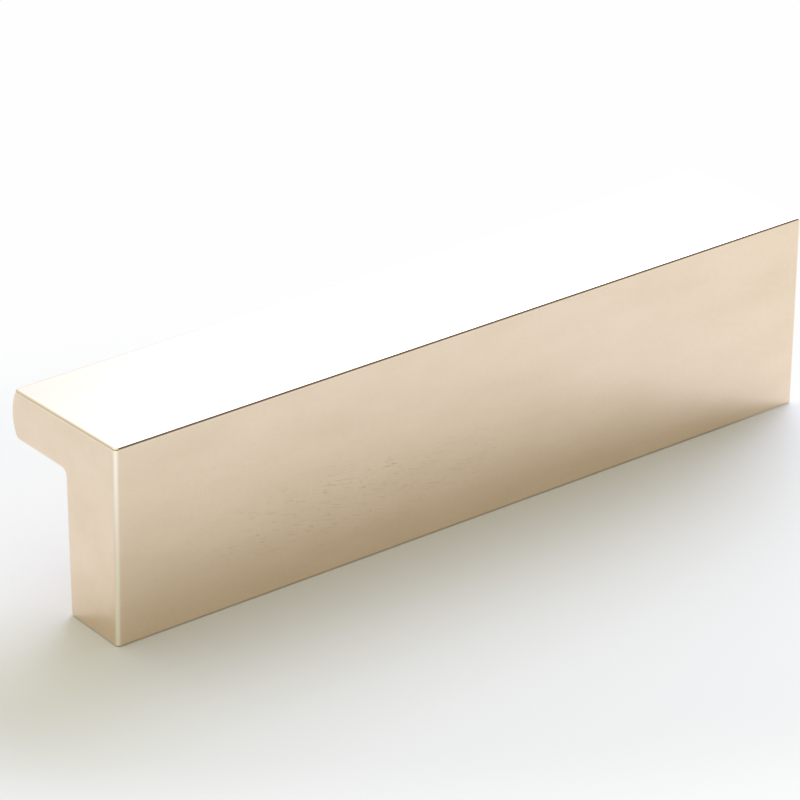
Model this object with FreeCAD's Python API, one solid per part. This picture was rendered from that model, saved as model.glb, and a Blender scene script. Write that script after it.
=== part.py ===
import FreeCAD, Part
import math
import os

# Finger edge pull: one solid bar of polished pale brass with an L-shaped section.
# A thick leg stands out from the door or drawer front on a flat foot. A thinner lip
# turns back from the top of the leg, and the fingers hook under it.
# Frame, in mm: X runs along the bar, Y from the leg's front face to the lip's tip, and
# Z out from the surface that the foot is screwed to. The origin lies on the foot,
# midway between the two screw holes.

# Whole bar
LENGTH = 101.6
HEIGHT = 25.4
LIP_REACH = 20.9

# Leg, thinner at the foot because its inner face has draft
FOOT_THICKNESS = 9.5
LEG_DRAFT_DEG = 1.9

# Lip, which leans a little towards the foot from the square corner of the leg. Its
# underside has draft too, so it thins towards the tip; the thickness is at the crown's centre
LIP_THICKNESS = 6.5
LIP_LEAN_DEG = 2.5
LIP_DRAFT_DEG = 1.2
LIP_CROWN_RADIUS = 6.35
FINGER_EDGE_RADIUS = 1.1

# Fillet in the corner where the fingers sit
ROOT_RADIUS = 0.6

# Edge roundings left by polishing: the rims of the top face and the foot are the
# crispest, and the edges down the two ends are softer
RIM_RADIUS = 0.3
END_EDGE_RADIUS = 0.6

# Tapped screw holes in the foot: 8-32 thread, 3 inch centres
SCREW_SPACING = 76.2
SCREW_MAJOR_DIAMETER = 4.166
TAP_DRILL_DIAMETER = 3.454
THREAD_DEPTH = 11.1
DRILL_RUN_OUT = 2.4
DRILL_POINT_DEG = 118.0
COUNTERSINK_DEPTH = 0.5
COUNTERSINK_DEG = 90.0

# Two places closer than this are the same place
TOUCH = 0.001

NODE = "edge_pull"


def tan_deg(angle):
    return math.tan(math.radians(angle))


def crown_centre():
    """Centre of the arc that crowns the lip's tip.

    It lies one crown radius back from the furthest reach, and half the lip's thickness
    from both its leaning top face and its underside.
    """
    y = LIP_REACH - LIP_CROWN_RADIUS
    half_drop = 0.5 * LIP_THICKNESS / math.cos(math.radians(LIP_LEAN_DEG))
    return y, HEIGHT - tan_deg(LIP_LEAN_DEG) * y - half_drop


def crown_end(half_thickness, lean_deg):
    """Where the crown arc meets one of the lip's two flat faces.

    half_thickness is the face's distance from the crown's centre, above zero for the top
    face and below it for the underside. lean_deg is how far the face leans to the foot.
    """
    centre_y, centre_z = crown_centre()
    lean = math.radians(lean_deg)
    along = math.sqrt(LIP_CROWN_RADIUS ** 2 - half_thickness ** 2)
    return (
        centre_y + along * math.cos(lean) + half_thickness * math.sin(lean),
        centre_z - along * math.sin(lean) + half_thickness * math.cos(lean),
    )


def section_corners():
    """Corners of the section in the Y-Z plane, before any rounding.

    Y is 0 on the front face and Z is 0 on the foot. The root is where the lip's
    underside meets the leg's drafted inner face.
    """
    underside_lean_deg = LIP_LEAN_DEG - LIP_DRAFT_DEG
    crown_top = crown_end(0.5 * LIP_THICKNESS, LIP_LEAN_DEG)
    crown_under = crown_end(-0.5 * LIP_THICKNESS, underside_lean_deg)

    # the inner face is y = FOOT_THICKNESS + draft * z; the underside falls by lean for each
    # mm towards the tip, from the crown's lower end
    lean = tan_deg(underside_lean_deg)
    draft = tan_deg(LEG_DRAFT_DEG)
    root_z = (crown_under[1] + lean * (crown_under[0] - FOOT_THICKNESS)) / (1.0 + lean * draft)
    root_y = FOOT_THICKNESS + draft * root_z

    return {
        "front_foot": (0.0, 0.0),
        "front_top": (0.0, HEIGHT),
        "crown_top": crown_top,
        "crown_under": crown_under,
        "root": (root_y, root_z),
        "rear_foot": (FOOT_THICKNESS, 0.0),
    }


def point(x, yz):
    """Point of the bar from a place along it and a place in its section.

    The screw holes run down the middle of the foot, so Y shifts by half its thickness.
    """
    return FreeCAD.Vector(x, yz[0] - 0.5 * FOOT_THICKNESS, yz[1])


def section_face(x):
    """The closed section as a face: straight runs and the one crown arc."""
    corners = section_corners()
    centre_y, centre_z = crown_centre()
    furthest = (centre_y + LIP_CROWN_RADIUS, centre_z)

    runs = [
        (corners["front_foot"], corners["front_top"]),
        (corners["front_top"], corners["crown_top"]),
        (corners["crown_under"], corners["root"]),
        (corners["root"], corners["rear_foot"]),
        (corners["rear_foot"], corners["front_foot"]),
    ]
    edges = [Part.LineSegment(point(x, a), point(x, b)).toShape() for a, b in runs]
    arc_points = (corners["crown_top"], furthest, corners["crown_under"])
    crown = Part.Arc(*[point(x, place) for place in arc_points]).toShape()
    edges.insert(2, crown)
    return Part.Face(Part.Wire(edges))


def long_edge_at(bar, place):
    """The bar's edge that runs along X through the given place in the section."""
    wanted = point(0.0, place)
    found = []
    for edge in bar.Edges:
        box = edge.BoundBox
        runs_along = box.XLength > 0.5 * LENGTH
        if runs_along and abs(box.Center.y - wanted.y) < TOUCH and abs(box.Center.z - wanted.z) < TOUCH:
            found.append(edge)
    return found


def is_on_foot(shape):
    return shape.BoundBox.ZMax < TOUCH


def is_on_top_face(shape):
    return shape.BoundBox.ZMin > section_corners()["crown_top"][1] - TOUCH


def end_edges(bar):
    """Edges of the two flat end faces, apart from those along the top face and the foot."""
    found = []
    for edge in bar.Edges:
        box = edge.BoundBox
        on_end = box.XLength < TOUCH and abs(box.Center.x) > 0.5 * LENGTH - TOUCH
        if on_end and not is_on_foot(edge) and not is_on_top_face(edge):
            found.append(edge)
    return found


def rim_edges(bar):
    """Edges round the top face and round the foot."""
    rims = []
    for face in bar.Faces:
        if is_on_foot(face) or is_on_top_face(face):
            rims += face.Edges
    return rims


def rounded_bar():
    """The section carried along the bar, with its root filleted and its edges softened."""
    bar = section_face(-0.5 * LENGTH).extrude(FreeCAD.Vector(LENGTH, 0.0, 0.0))
    bar = bar.makeFillet(ROOT_RADIUS, long_edge_at(bar, section_corners()["root"]))
    bar = bar.makeFillet(FINGER_EDGE_RADIUS, long_edge_at(bar, section_corners()["crown_under"]))
    bar = bar.makeFillet(END_EDGE_RADIUS, end_edges(bar))
    return bar.makeFillet(RIM_RADIUS, rim_edges(bar))


def screw_hole(x):
    """Cutter for one blind tapped hole, opening at the foot.

    From the mouth up: a countersink, the threaded length at the thread's major
    diameter, and the tap drill's run-out with its point.
    """
    thread_r = 0.5 * SCREW_MAJOR_DIAMETER
    drill_r = 0.5 * TAP_DRILL_DIAMETER
    mouth_r = thread_r + COUNTERSINK_DEPTH * tan_deg(0.5 * COUNTERSINK_DEG)
    drill_depth = THREAD_DEPTH + DRILL_RUN_OUT
    point_height = drill_r / tan_deg(0.5 * DRILL_POINT_DEG)

    outline = [
        (0.0, 0.0),
        (mouth_r, 0.0),
        (thread_r, COUNTERSINK_DEPTH),
        (thread_r, THREAD_DEPTH),
        (drill_r, THREAD_DEPTH),
        (drill_r, drill_depth),
        (0.0, drill_depth + point_height),
        (0.0, 0.0),
    ]
    wire = Part.makePolygon([FreeCAD.Vector(x + r, 0.0, z) for r, z in outline])
    axis_point = FreeCAD.Vector(x, 0.0, 0.0)
    return Part.Face(wire).revolve(axis_point, FreeCAD.Vector(0.0, 0.0, 1.0), 360.0)


def edge_pull():
    holes = [screw_hole(side * 0.5 * SCREW_SPACING) for side in (-1.0, 1.0)]
    return rounded_bar().cut(holes)


os.makedirs("parts", exist_ok=True)
pull = edge_pull()
solid = pull.Solids[0]
solid.exportStep("parts/" + NODE + ".step")
box = solid.optimalBoundingBox(True)
print(NODE, "solids", len(pull.Solids), "valid", solid.isValid(), "volume mm3", round(solid.Volume, 1))
print("size mm", round(box.XLength, 2), round(box.YLength, 2), round(box.ZLength, 2))
print("centre of mass mm", [round(value, 2) for value in solid.CenterOfMass])
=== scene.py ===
import math

import bpy
import numpy as np
from mathutils import Matrix, Vector


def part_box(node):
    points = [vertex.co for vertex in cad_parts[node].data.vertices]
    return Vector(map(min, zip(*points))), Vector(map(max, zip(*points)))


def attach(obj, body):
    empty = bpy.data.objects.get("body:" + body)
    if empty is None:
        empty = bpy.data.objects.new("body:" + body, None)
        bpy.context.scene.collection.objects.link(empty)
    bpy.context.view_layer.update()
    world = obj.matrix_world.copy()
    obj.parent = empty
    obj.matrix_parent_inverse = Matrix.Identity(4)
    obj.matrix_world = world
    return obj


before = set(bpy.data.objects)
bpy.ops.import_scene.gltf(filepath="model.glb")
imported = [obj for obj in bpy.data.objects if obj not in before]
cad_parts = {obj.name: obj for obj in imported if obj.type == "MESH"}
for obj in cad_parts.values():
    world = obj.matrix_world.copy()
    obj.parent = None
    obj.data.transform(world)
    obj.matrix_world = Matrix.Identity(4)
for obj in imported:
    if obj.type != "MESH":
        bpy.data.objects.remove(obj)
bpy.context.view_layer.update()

# Edge pull: one solid bar of pale champagne brass with an L-shaped section, milled square,
# then polished by hand on a buffing wheel. Its node already has the true form, so it stays
# and takes the polished finish.
MM = 0.001
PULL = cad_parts["edge_pull"]


def linear(hex_colour):
    """sRGB hex to linear RGB with alpha 1, by the two-part sRGB curve."""
    channels = [int(hex_colour[i:i + 2], 16) / 255 for i in (1, 3, 5)]
    curved = [c / 12.92 if c <= 0.04045 else ((c + 0.055) / 1.055) ** 2.4 for c in channels]
    return (*curved, 1.0)


def add_node(tree, kind, settings=None, inputs=None, links=None):
    """Adds a node, sets its settings and input values, and links other outputs to its inputs."""
    node = tree.nodes.new(kind)
    for name, value in (settings or {}).items():
        setattr(node, name, value)
    for name, value in (inputs or {}).items():
        node.inputs[name].default_value = value
    for name, output in (links or {}).items():
        tree.links.new(output, node.inputs[name])
    return node


# Polished brass: rubbed bright with fine compound, so it mirrors its surroundings in a warm
# champagne tone. Thin haze from handling makes soft clouds in it, with short rubbing streaks,
# most of them low on the leg. The buffing wheel leaves very shallow lines along the bar. The
# rounded edges of the two ends carry a painted highlight, a lighter tone than the faces beside
# them.
CLEAR_TONE = linear("#F2DEC7")
HAZY_TONE = linear("#EBD7BE")
STREAK_TONE = linear("#CDB693")
EDGE_HIGHLIGHT_TONE = linear("#FFF7E7")
CLEAR_ROUGHNESS = 0.10
HAZY_ROUGHNESS = 0.16
CLOUD_LENGTH = 14 * MM
CLOUD_HEIGHT = 5 * MM
GRAIN_SIZE = 0.6 * MM
GRAIN_SHARE = 0.28
HAZE_START = 0.32
HAZE_FULL = 0.68
STREAK_LENGTH = 2.6 * MM
STREAK_WIDTH = 0.34 * MM
STREAK_TILT = math.radians(12)
STREAK_START = 0.54
STREAK_FULL = 0.72
RUBBED_PLACE = (-18 * MM, 0.0, 9 * MM)
RUBBED_SIZE = (30 * MM, 30 * MM, 6.5 * MM)
RUBBED_CORE = 0.30
RUBBED_AMOUNT = 0.85
STRAY_AMOUNT = 0.08
# Real buffing lines are finer than 0.1 mm and wouldn't show, so they are drawn coarser.
BUFF_LENGTH = 30 * MM
BUFF_WIDTH = 0.7 * MM
BUFF_DEPTH = 0.0006 * MM
polished_brass = bpy.data.materials.new("polished_brass")
polished_brass.use_nodes = True
tree = polished_brass.node_tree
tree.nodes.clear()
place = add_node(tree, "ShaderNodeTexCoord").outputs["Object"]
cloud_place = add_node(
    tree,
    "ShaderNodeMapping",
    inputs={"Scale": (1 / CLOUD_LENGTH, 1 / CLOUD_HEIGHT, 1 / CLOUD_HEIGHT)},
    links={"Vector": place},
)
clouds = add_node(
    tree,
    "ShaderNodeTexNoise",
    inputs={"Scale": 1.0, "Detail": 4.0, "Roughness": 0.55},
    links={"Vector": cloud_place.outputs["Vector"]},
)
grain = add_node(
    tree,
    "ShaderNodeTexNoise",
    inputs={"Scale": 1 / GRAIN_SIZE, "Detail": 2.0, "Roughness": 0.6},
    links={"Vector": place},
)
haze_mix = add_node(
    tree,
    "ShaderNodeMix",
    settings={"data_type": "FLOAT"},
    inputs={"Factor": GRAIN_SHARE},
    links={"A": clouds.outputs["Fac"], "B": grain.outputs["Fac"]},
)
haze = add_node(
    tree,
    "ShaderNodeMapRange",
    inputs={"From Min": HAZE_START, "From Max": HAZE_FULL, "To Min": 0.0, "To Max": 1.0},
    links={"Value": haze_mix.outputs["Result"]},
)
streak_place = add_node(
    tree,
    "ShaderNodeMapping",
    settings={"vector_type": "TEXTURE"},
    inputs={
        "Rotation": (0.0, STREAK_TILT, 0.0),
        "Scale": (STREAK_LENGTH, STREAK_WIDTH, STREAK_WIDTH),
    },
    links={"Vector": place},
)
streaks = add_node(
    tree,
    "ShaderNodeTexNoise",
    inputs={"Scale": 1.0, "Detail": 4.0, "Roughness": 0.7, "Distortion": 1.2},
    links={"Vector": streak_place.outputs["Vector"]},
)
streak_lines = add_node(
    tree,
    "ShaderNodeMapRange",
    settings={"interpolation_type": "SMOOTHSTEP"},
    inputs={"From Min": STREAK_START, "From Max": STREAK_FULL, "To Min": 0.0, "To Max": 1.0},
    links={"Value": streaks.outputs["Fac"]},
)
from_rubbed = add_node(
    tree,
    "ShaderNodeMapping",
    settings={"vector_type": "TEXTURE"},
    inputs={"Location": RUBBED_PLACE, "Scale": RUBBED_SIZE},
    links={"Vector": place},
)
rubbed_reach = add_node(
    tree,
    "ShaderNodeVectorMath",
    settings={"operation": "LENGTH"},
    links={0: from_rubbed.outputs["Vector"]},
)
patch_mask = add_node(
    tree,
    "ShaderNodeMapRange",
    settings={"interpolation_type": "SMOOTHSTEP"},
    inputs={
        "From Min": RUBBED_CORE,
        "From Max": 1.0,
        "To Min": RUBBED_AMOUNT,
        "To Max": STRAY_AMOUNT,
    },
    links={"Value": rubbed_reach.outputs["Value"]},
)
streak_amount = add_node(
    tree,
    "ShaderNodeMath",
    settings={"operation": "MULTIPLY"},
    links={0: streak_lines.outputs["Result"], 1: patch_mask.outputs["Result"]},
)
clear_or_hazy = add_node(
    tree,
    "ShaderNodeMix",
    settings={"data_type": "RGBA"},
    inputs={"A": CLEAR_TONE, "B": HAZY_TONE},
    links={"Factor": haze.outputs["Result"]},
)
streaked_tone = add_node(
    tree,
    "ShaderNodeMix",
    settings={"data_type": "RGBA"},
    inputs={"B": STREAK_TONE},
    links={"Factor": streak_amount.outputs["Value"], "A": clear_or_hazy.outputs["Result"]},
)
# With n the share of the surface's direction that points along the bar, 4 n^2 (1 - n^2) is 0
# on the flat faces and 1 half way round the edges of the ends: the mask of the painted highlight.
facing = add_node(tree, "ShaderNodeNewGeometry").outputs["Normal"]
facing_parts = add_node(tree, "ShaderNodeSeparateXYZ", links={"Vector": facing})
end_share = add_node(
    tree,
    "ShaderNodeMath",
    settings={"operation": "MULTIPLY"},
    links={0: facing_parts.outputs["X"], 1: facing_parts.outputs["X"]},
)
side_share = add_node(
    tree,
    "ShaderNodeMath",
    settings={"operation": "SUBTRACT"},
    inputs={0: 1.0},
    links={1: end_share.outputs["Value"]},
)
both_shares = add_node(
    tree,
    "ShaderNodeMath",
    settings={"operation": "MULTIPLY"},
    links={0: end_share.outputs["Value"], 1: side_share.outputs["Value"]},
)
edge_highlight = add_node(
    tree,
    "ShaderNodeMath",
    settings={"operation": "MULTIPLY"},
    inputs={1: 4.0},
    links={0: both_shares.outputs["Value"]},
)
# Painted highlight: the rounded edges of the ends are mixed towards a lighter tone.
tone = add_node(
    tree,
    "ShaderNodeMix",
    settings={"data_type": "RGBA"},
    inputs={"B": EDGE_HIGHLIGHT_TONE},
    links={"Factor": edge_highlight.outputs["Value"], "A": streaked_tone.outputs["Result"]},
)
dullness = add_node(
    tree,
    "ShaderNodeMapRange",
    inputs={
        "From Min": 0.0,
        "From Max": 1.0,
        "To Min": CLEAR_ROUGHNESS,
        "To Max": HAZY_ROUGHNESS,
    },
    links={"Value": haze.outputs["Result"]},
)
buff_place = add_node(
    tree,
    "ShaderNodeMapping",
    inputs={"Scale": (1 / BUFF_LENGTH, 1 / BUFF_WIDTH, 1 / BUFF_WIDTH)},
    links={"Vector": place},
)
buff_lines = add_node(
    tree,
    "ShaderNodeTexNoise",
    inputs={"Scale": 1.0, "Detail": 2.0},
    links={"Vector": buff_place.outputs["Vector"]},
)
buffed = add_node(
    tree,
    "ShaderNodeBump",
    inputs={"Strength": 1.0, "Distance": BUFF_DEPTH},
    links={"Height": buff_lines.outputs["Fac"]},
)
brass = add_node(
    tree,
    "ShaderNodeBsdfPrincipled",
    inputs={"Metallic": 1.0},
    links={
        "Base Color": tone.outputs["Result"],
        "Roughness": dullness.outputs["Result"],
        "Normal": buffed.outputs["Normal"],
    },
)
add_node(tree, "ShaderNodeOutputMaterial", links={"Surface": brass.outputs["BSDF"]})
PULL.data.materials.clear()
PULL.data.materials.append(polished_brass)

# Screw threads: the 8-32 thread in each of the two blind holes, cut by a tap into the solid
# brass. The bar's own holes are plain bores of the thread's major radius, and these pieces
# are the ridges that stand in from their walls, seated a hair into them, 0.794 mm a turn.
HOLE_PLACES = (-38.1 * MM, 38.1 * MM)
THREAD_PITCH = 25.4 * MM / 32
MAJOR_RADIUS = 2.083 * MM
MINOR_RADIUS = 1.727 * MM
THREAD_START = 0.5 * MM
THREAD_END = 11.1 * MM
CREST_WIDTH = THREAD_PITCH / 4
ROOT_WIDTH = THREAD_PITCH * 7 / 8
SEAT = 0.015 * MM
RUN_IN_TURNS = 0.35
LEAST_STAND = 0.02
STEPS_PER_TURN = 48


def thread_ridge(hole_x):
    """Points and faces of one ridge, a trapezoid carried along a helix round the hole's axis.

    At turn t the middle height is the start plus half the root width plus pitch times t, and
    the angle is one full circle times t. The crest stands at the minor radius, and over the
    first and last part of a turn it falls back to the wall. Its two ends are closed.
    """
    turns = (THREAD_END - THREAD_START - ROOT_WIDTH) / THREAD_PITCH
    turn = np.linspace(0.0, turns, int(turns * STEPS_PER_TURN) + 1)
    stand = np.clip(np.minimum(turn, turns - turn) / RUN_IN_TURNS, LEAST_STAND, 1.0)
    wall = np.full_like(turn, MAJOR_RADIUS + SEAT)
    crest = MAJOR_RADIUS - (MAJOR_RADIUS - MINOR_RADIUS) * stand
    half_crest = 0.5 * (ROOT_WIDTH - (ROOT_WIDTH - CREST_WIDTH) * stand)
    half_root = np.full_like(turn, 0.5 * ROOT_WIDTH)
    radius = np.stack([wall, wall, crest, crest], axis=1)
    rise = np.stack([half_root, -half_root, -half_crest, half_crest], axis=1)
    angle = (2 * math.pi * turn)[:, None]
    middle = (THREAD_START + 0.5 * ROOT_WIDTH + THREAD_PITCH * turn)[:, None]
    across = hole_x + radius * np.cos(angle)
    points = np.stack([across, radius * np.sin(angle), middle + rise], axis=2)
    here = 4 * np.arange(len(turn) - 1)[:, None]
    side = np.arange(4)[None, :]
    after = (side + 1) % 4
    quads = np.stack([here + side, here + after, here + 4 + after, here + 4 + side], axis=2)
    quads = quads.reshape(-1, 4)
    last = 4 * (len(turn) - 1)
    ends = np.array([[3, 2, 1, 0], [last, last + 1, last + 2, last + 3]])
    return points.reshape(-1, 3), np.vstack([quads, ends])


for name, hole_x in zip(("thread_left", "thread_right"), HOLE_PLACES):
    points, faces = thread_ridge(hole_x)
    ridge_mesh = bpy.data.meshes.new(name)
    ridge_mesh.from_pydata(points.tolist(), [], faces.tolist())
    ridge_mesh.materials.append(polished_brass)
    ridge = bpy.data.objects.new(name, ridge_mesh)
    bpy.context.scene.collection.objects.link(ridge)
    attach(ridge, "root")

# Floor: a matt white table top that runs past the view on every side. It is see-through from
# below and has an opening under the foot, so that the foot and its screw holes can be looked
# at, and away from the bar it fades into a plain white sweep.
FLOOR_SIZE = 6000 * MM
FLOOR_GAP = 0.02 * MM
OPENING_INSET = 0.5 * MM
SWEEP_CENTRE = (-20 * MM, -5 * MM, 0.0)
SWEEP_TILT = math.radians(-31)
SWEEP_RADII = (130 * MM, 68 * MM, 1000 * MM)
SWEEP_START = 0.58
TABLE_WHITE = linear("#F5F5F4")
SWEEP_WHITE = linear("#FEFEFE")
low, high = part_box("edge_pull")
foot_half_length = high[0] - OPENING_INSET
foot_half_width = -low[1] - OPENING_INSET
corners = np.array([(-1.0, -1.0), (1.0, -1.0), (1.0, 1.0), (-1.0, 1.0)])
rings = np.vstack([corners * FLOOR_SIZE / 2, corners * (foot_half_length, foot_half_width)])
floor_points = np.column_stack([rings, np.full(len(rings), -FLOOR_GAP)])
floor_mesh = bpy.data.meshes.new("floor")
floor_mesh.from_pydata(
    floor_points.tolist(),
    [],
    [(side, (side + 1) % 4, 4 + (side + 1) % 4, 4 + side) for side in range(4)],
)
floor = bpy.data.objects.new("floor", floor_mesh)
bpy.context.scene.collection.objects.link(floor)
matt_white = bpy.data.materials.new("matt_white_table")
matt_white.use_nodes = True
tree = matt_white.node_tree
tree.nodes.clear()
paint = add_node(tree, "ShaderNodeBsdfDiffuse", inputs={"Color": TABLE_WHITE})
sweep = add_node(tree, "ShaderNodeEmission", inputs={"Color": SWEEP_WHITE, "Strength": 1.0})
table_place = add_node(tree, "ShaderNodeTexCoord").outputs["Object"]
from_bar = add_node(
    tree,
    "ShaderNodeMapping",
    settings={"vector_type": "TEXTURE"},
    inputs={"Location": SWEEP_CENTRE, "Rotation": (0.0, 0.0, SWEEP_TILT), "Scale": SWEEP_RADII},
    links={"Vector": table_place},
)
sweep_reach = add_node(
    tree,
    "ShaderNodeVectorMath",
    settings={"operation": "LENGTH"},
    links={0: from_bar.outputs["Vector"]},
)
fade = add_node(
    tree,
    "ShaderNodeMapRange",
    settings={"interpolation_type": "SMOOTHSTEP"},
    inputs={"From Min": SWEEP_START, "From Max": 1.0, "To Min": 0.0, "To Max": 1.0},
    links={"Value": sweep_reach.outputs["Value"]},
)
rays = add_node(tree, "ShaderNodeLightPath")
looked_at = add_node(
    tree,
    "ShaderNodeMath",
    settings={"operation": "MAXIMUM"},
    links={0: rays.outputs["Is Camera Ray"], 1: rays.outputs["Is Glossy Ray"]},
)
looked_at_or_through = add_node(
    tree,
    "ShaderNodeMath",
    settings={"operation": "MAXIMUM"},
    links={0: looked_at.outputs["Value"], 1: rays.outputs["Is Transmission Ray"]},
)
seen_fade = add_node(
    tree,
    "ShaderNodeMath",
    settings={"operation": "MULTIPLY"},
    links={0: fade.outputs["Result"], 1: looked_at_or_through.outputs["Value"]},
)
table = add_node(
    tree,
    "ShaderNodeMixShader",
    links={
        "Fac": seen_fade.outputs["Value"],
        1: paint.outputs["BSDF"],
        2: sweep.outputs["Emission"],
    },
)
clear = add_node(tree, "ShaderNodeBsdfTransparent")
table_side = add_node(tree, "ShaderNodeNewGeometry")
one_sided = add_node(
    tree,
    "ShaderNodeMixShader",
    links={
        "Fac": table_side.outputs["Backfacing"],
        1: table.outputs["Shader"],
        2: clear.outputs["BSDF"],
    },
)
add_node(tree, "ShaderNodeOutputMaterial", links={"Surface": one_sided.outputs["Shader"]})
floor_mesh.materials.append(matt_white)

# Key light: one large softbox behind the bar on the right, a little cool. It lights the table,
# throws the bar's shadow towards the viewer's left, and is what the top face mirrors. Its
# cloth is brightest in the middle and fades to a dim, cooler rim.
KEY_AIM = Vector((0.0, 0.0, 12.0)) * MM
KEY_AZIMUTH = 60.0
KEY_ELEVATION = 34.0
KEY_DISTANCE = 920 * MM
KEY_WIDTH = 1060 * MM
KEY_HEIGHT = 740 * MM
KEY_RADIANCE = 5.5
KEY_COLOUR = (0.90, 1.0, 1.30)
RIM_START = 0.45
RIM_END = 0.95
RIM_LEVEL = 0.12
RIM_COLOUR = (1.0, 0.99, 1.22, 1.0)
azimuth, elevation = math.radians(KEY_AZIMUTH), math.radians(KEY_ELEVATION)
towards_key = Vector((
    math.sin(azimuth) * math.cos(elevation),
    math.cos(azimuth) * math.cos(elevation),
    math.sin(elevation),
))
key_data = bpy.data.lights.new("key_softbox", "AREA")
key_data.shape = "RECTANGLE"
key_data.size = KEY_WIDTH
key_data.size_y = KEY_HEIGHT
key_data.energy = KEY_RADIANCE * math.pi * KEY_WIDTH * KEY_HEIGHT
key_data.color = KEY_COLOUR
key_data.use_nodes = True
tree = key_data.node_tree
tree.nodes.clear()
# The cloth's own places run from 0 to 1 across it, and here from -1 to 1 about its middle.
cloth_spot = add_node(tree, "ShaderNodeNewGeometry")
from_middle = add_node(
    tree,
    "ShaderNodeVectorMath",
    settings={"operation": "MULTIPLY_ADD"},
    inputs={1: (2.0, 2.0, 0.0), 2: (-1.0, -1.0, 0.0)},
    links={0: cloth_spot.outputs["Parametric"]},
)
cloth_reach = add_node(
    tree,
    "ShaderNodeVectorMath",
    settings={"operation": "LENGTH"},
    links={0: from_middle.outputs["Vector"]},
)
glow = add_node(
    tree,
    "ShaderNodeMapRange",
    settings={"interpolation_type": "SMOOTHSTEP"},
    inputs={"From Min": RIM_START, "From Max": RIM_END, "To Min": 1.0, "To Max": RIM_LEVEL},
    links={"Value": cloth_reach.outputs["Value"]},
)
rim_share = add_node(
    tree,
    "ShaderNodeMapRange",
    inputs={"From Min": RIM_START, "From Max": RIM_END, "To Min": 0.0, "To Max": 1.0},
    links={"Value": cloth_reach.outputs["Value"]},
)
cloth_colour = add_node(
    tree,
    "ShaderNodeMix",
    settings={"data_type": "RGBA"},
    inputs={"A": (1.0, 1.0, 1.0, 1.0), "B": RIM_COLOUR},
    links={"Factor": rim_share.outputs["Result"]},
)
cloth = add_node(
    tree,
    "ShaderNodeEmission",
    links={"Color": cloth_colour.outputs["Result"], "Strength": glow.outputs["Result"]},
)
add_node(tree, "ShaderNodeOutputLight", links={"Surface": cloth.outputs["Emission"]})
key = bpy.data.objects.new("key_softbox", key_data)
key.location = KEY_AIM + KEY_DISTANCE * towards_key
key.rotation_euler = towards_key.to_track_quat("Z", "Y").to_euler()
key.visible_camera = False
bpy.context.scene.collection.objects.link(key)

# Studio round it: white at the horizon like the table, a warm mid-toned room above that,
# dimmer in front and on the left, and a wide soft light overhead. A long dark flag that hangs
# over the bar on the right is what its long top rim mirrors. Every start, end and width below
# is a component of the unit vector towards that place: X right, Y back and Z up.
HORIZON_LEVEL = 0.98
HORIZON_TOP = 0.035
ROOM_START = 0.17
ROOM_LIGHT = (0.70, 0.675, 0.525, 1.0)
OVERHEAD_START = 0.50
OVERHEAD_FULL = 0.74
OVERHEAD_LIGHT = (1.17, 1.145, 0.97, 1.0)
FRONT_FULL = -0.75
FRONT_END = -0.05
FRONT_LEVEL = 0.45
LEFT_FULL = -0.75
LEFT_END = 0.0
LEFT_LEVEL = 0.60
FLAG_SIDE = 0.555
FLAG_HALF_WIDTH = 0.08
FLAG_BLUR_WIDTH = 0.20
FLAG_HALF_LENGTH = 0.50
FLAG_BLUR_LENGTH = 0.68
FLAG_LEVEL = 0.12
world = bpy.data.worlds.new("studio")
bpy.context.scene.world = world
world.use_nodes = True
tree = world.node_tree
tree.nodes.clear()
direction = add_node(tree, "ShaderNodeTexCoord").outputs["Generated"]
parts = add_node(tree, "ShaderNodeSeparateXYZ", links={"Vector": direction})
upward = add_node(
    tree,
    "ShaderNodeMapRange",
    settings={"interpolation_type": "SMOOTHSTEP"},
    inputs={"From Min": OVERHEAD_START, "From Max": OVERHEAD_FULL, "To Min": 0.0, "To Max": 1.0},
    links={"Value": parts.outputs["Z"]},
)
room_light = add_node(
    tree,
    "ShaderNodeMix",
    settings={"data_type": "RGBA"},
    inputs={"A": ROOM_LIGHT, "B": OVERHEAD_LIGHT},
    links={"Factor": upward.outputs["Result"]},
)
frontward = add_node(
    tree,
    "ShaderNodeMapRange",
    settings={"interpolation_type": "SMOOTHSTEP"},
    inputs={"From Min": FRONT_FULL, "From Max": FRONT_END, "To Min": FRONT_LEVEL, "To Max": 1.0},
    links={"Value": parts.outputs["Y"]},
)
beside_flag = add_node(
    tree,
    "ShaderNodeMath",
    settings={"operation": "SUBTRACT"},
    inputs={1: FLAG_SIDE},
    links={0: parts.outputs["X"]},
)
off_flag = add_node(
    tree,
    "ShaderNodeMath",
    settings={"operation": "ABSOLUTE"},
    links={0: beside_flag.outputs["Value"]},
)
beside = add_node(
    tree,
    "ShaderNodeMapRange",
    settings={"interpolation_type": "SMOOTHSTEP"},
    inputs={
        "From Min": FLAG_HALF_WIDTH,
        "From Max": FLAG_BLUR_WIDTH,
        "To Min": FLAG_LEVEL,
        "To Max": 1.0,
    },
    links={"Value": off_flag.outputs["Value"]},
)
off_middle = add_node(
    tree,
    "ShaderNodeMath",
    settings={"operation": "ABSOLUTE"},
    links={0: parts.outputs["Y"]},
)
past_flag = add_node(
    tree,
    "ShaderNodeMapRange",
    settings={"interpolation_type": "SMOOTHSTEP"},
    inputs={
        "From Min": FLAG_HALF_LENGTH,
        "From Max": FLAG_BLUR_LENGTH,
        "To Min": 0.0,
        "To Max": 1.0,
    },
    links={"Value": off_middle.outputs["Value"]},
)
flagged = add_node(
    tree,
    "ShaderNodeMath",
    settings={"operation": "MAXIMUM"},
    links={0: beside.outputs["Result"], 1: past_flag.outputs["Result"]},
)
leftward = add_node(
    tree,
    "ShaderNodeMapRange",
    settings={"interpolation_type": "SMOOTHSTEP"},
    inputs={"From Min": LEFT_FULL, "From Max": LEFT_END, "To Min": LEFT_LEVEL, "To Max": 1.0},
    links={"Value": parts.outputs["X"]},
)
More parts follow.
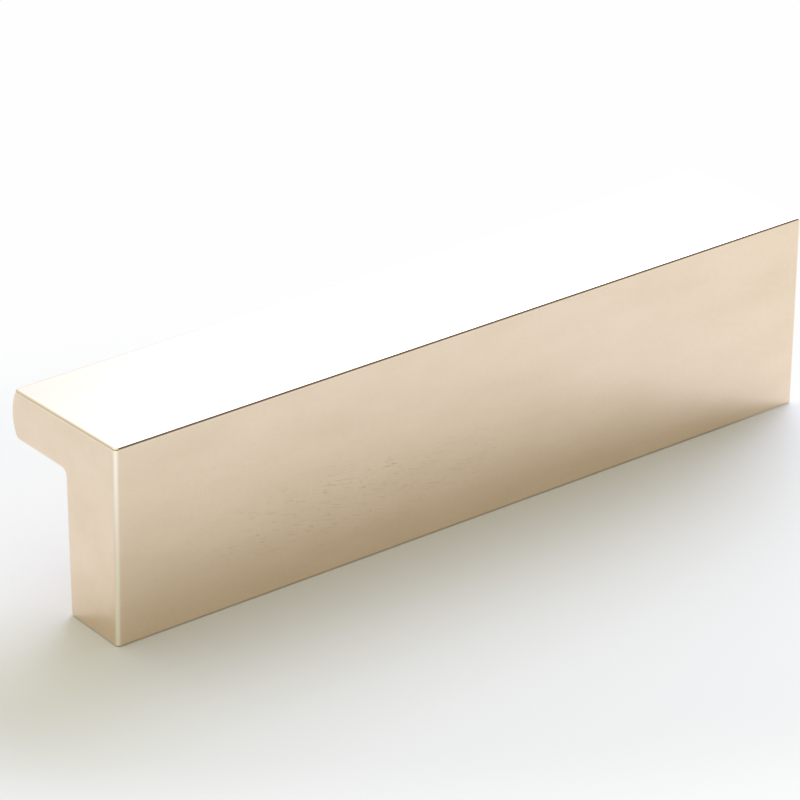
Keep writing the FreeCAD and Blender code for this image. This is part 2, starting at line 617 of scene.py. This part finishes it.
sides_level = add_node(
    tree,
    "ShaderNodeMath",
    settings={"operation": "MULTIPLY"},
    links={0: frontward.outputs["Result"], 1: leftward.outputs["Result"]},
)
flagged_level = add_node(
    tree,
    "ShaderNodeMath",
    settings={"operation": "MULTIPLY"},
    links={0: sides_level.outputs["Value"], 1: flagged.outputs["Value"]},
)
room = add_node(
    tree,
    "ShaderNodeBackground",
    links={"Color": room_light.outputs["Result"], "Strength": flagged_level.outputs["Value"]},
)
horizon = add_node(
    tree,
    "ShaderNodeBackground",
    inputs={"Color": (1.0, 1.0, 1.0, 1.0), "Strength": HORIZON_LEVEL},
)
above_horizon = add_node(
    tree,
    "ShaderNodeMapRange",
    settings={"interpolation_type": "SMOOTHSTEP"},
    inputs={"From Min": HORIZON_TOP, "From Max": ROOM_START, "To Min": 0.0, "To Max": 1.0},
    links={"Value": parts.outputs["Z"]},
)
studio = add_node(
    tree,
    "ShaderNodeMixShader",
    links={
        "Fac": above_horizon.outputs["Result"],
        1: horizon.outputs["Background"],
        2: room.outputs["Background"],
    },
)
add_node(tree, "ShaderNodeOutputWorld", links={"Surface": studio.outputs["Shader"]})

# Camera: a long lens above the front left corner of the bar, as in the photograph.
CAMERA_AZIMUTH = 37.95
CAMERA_ELEVATION = 27.57
CAMERA_ROLL = 0.81
CAMERA_DISTANCE = 604.2 * MM
CAMERA_TARGET = Vector((-2.95, 5.32, 12.67)) * MM
CAMERA_LENS = 229.6
SENSOR_WIDTH = 36.0
CAMERA_CLIP = 10 * MM
azimuth, elevation = math.radians(CAMERA_AZIMUTH), math.radians(CAMERA_ELEVATION)
forward = Vector((
    math.sin(azimuth) * math.cos(elevation),
    math.cos(azimuth) * math.cos(elevation),
    -math.sin(elevation),
))
camera_data = bpy.data.cameras.new("camera")
camera_data.lens = CAMERA_LENS
camera_data.sensor_width = SENSOR_WIDTH
camera_data.clip_start = CAMERA_CLIP
camera = bpy.data.objects.new("camera", camera_data)
level = forward.to_track_quat("-Z", "Y").to_matrix().to_4x4()
roll = Matrix.Rotation(math.radians(CAMERA_ROLL), 4, "Z")
camera.matrix_world = Matrix.Translation(CAMERA_TARGET - CAMERA_DISTANCE * forward) @ level @ roll
bpy.context.scene.collection.objects.link(camera)
bpy.context.scene.camera = camera

bpy.context.scene.view_settings.view_transform = "Standard"
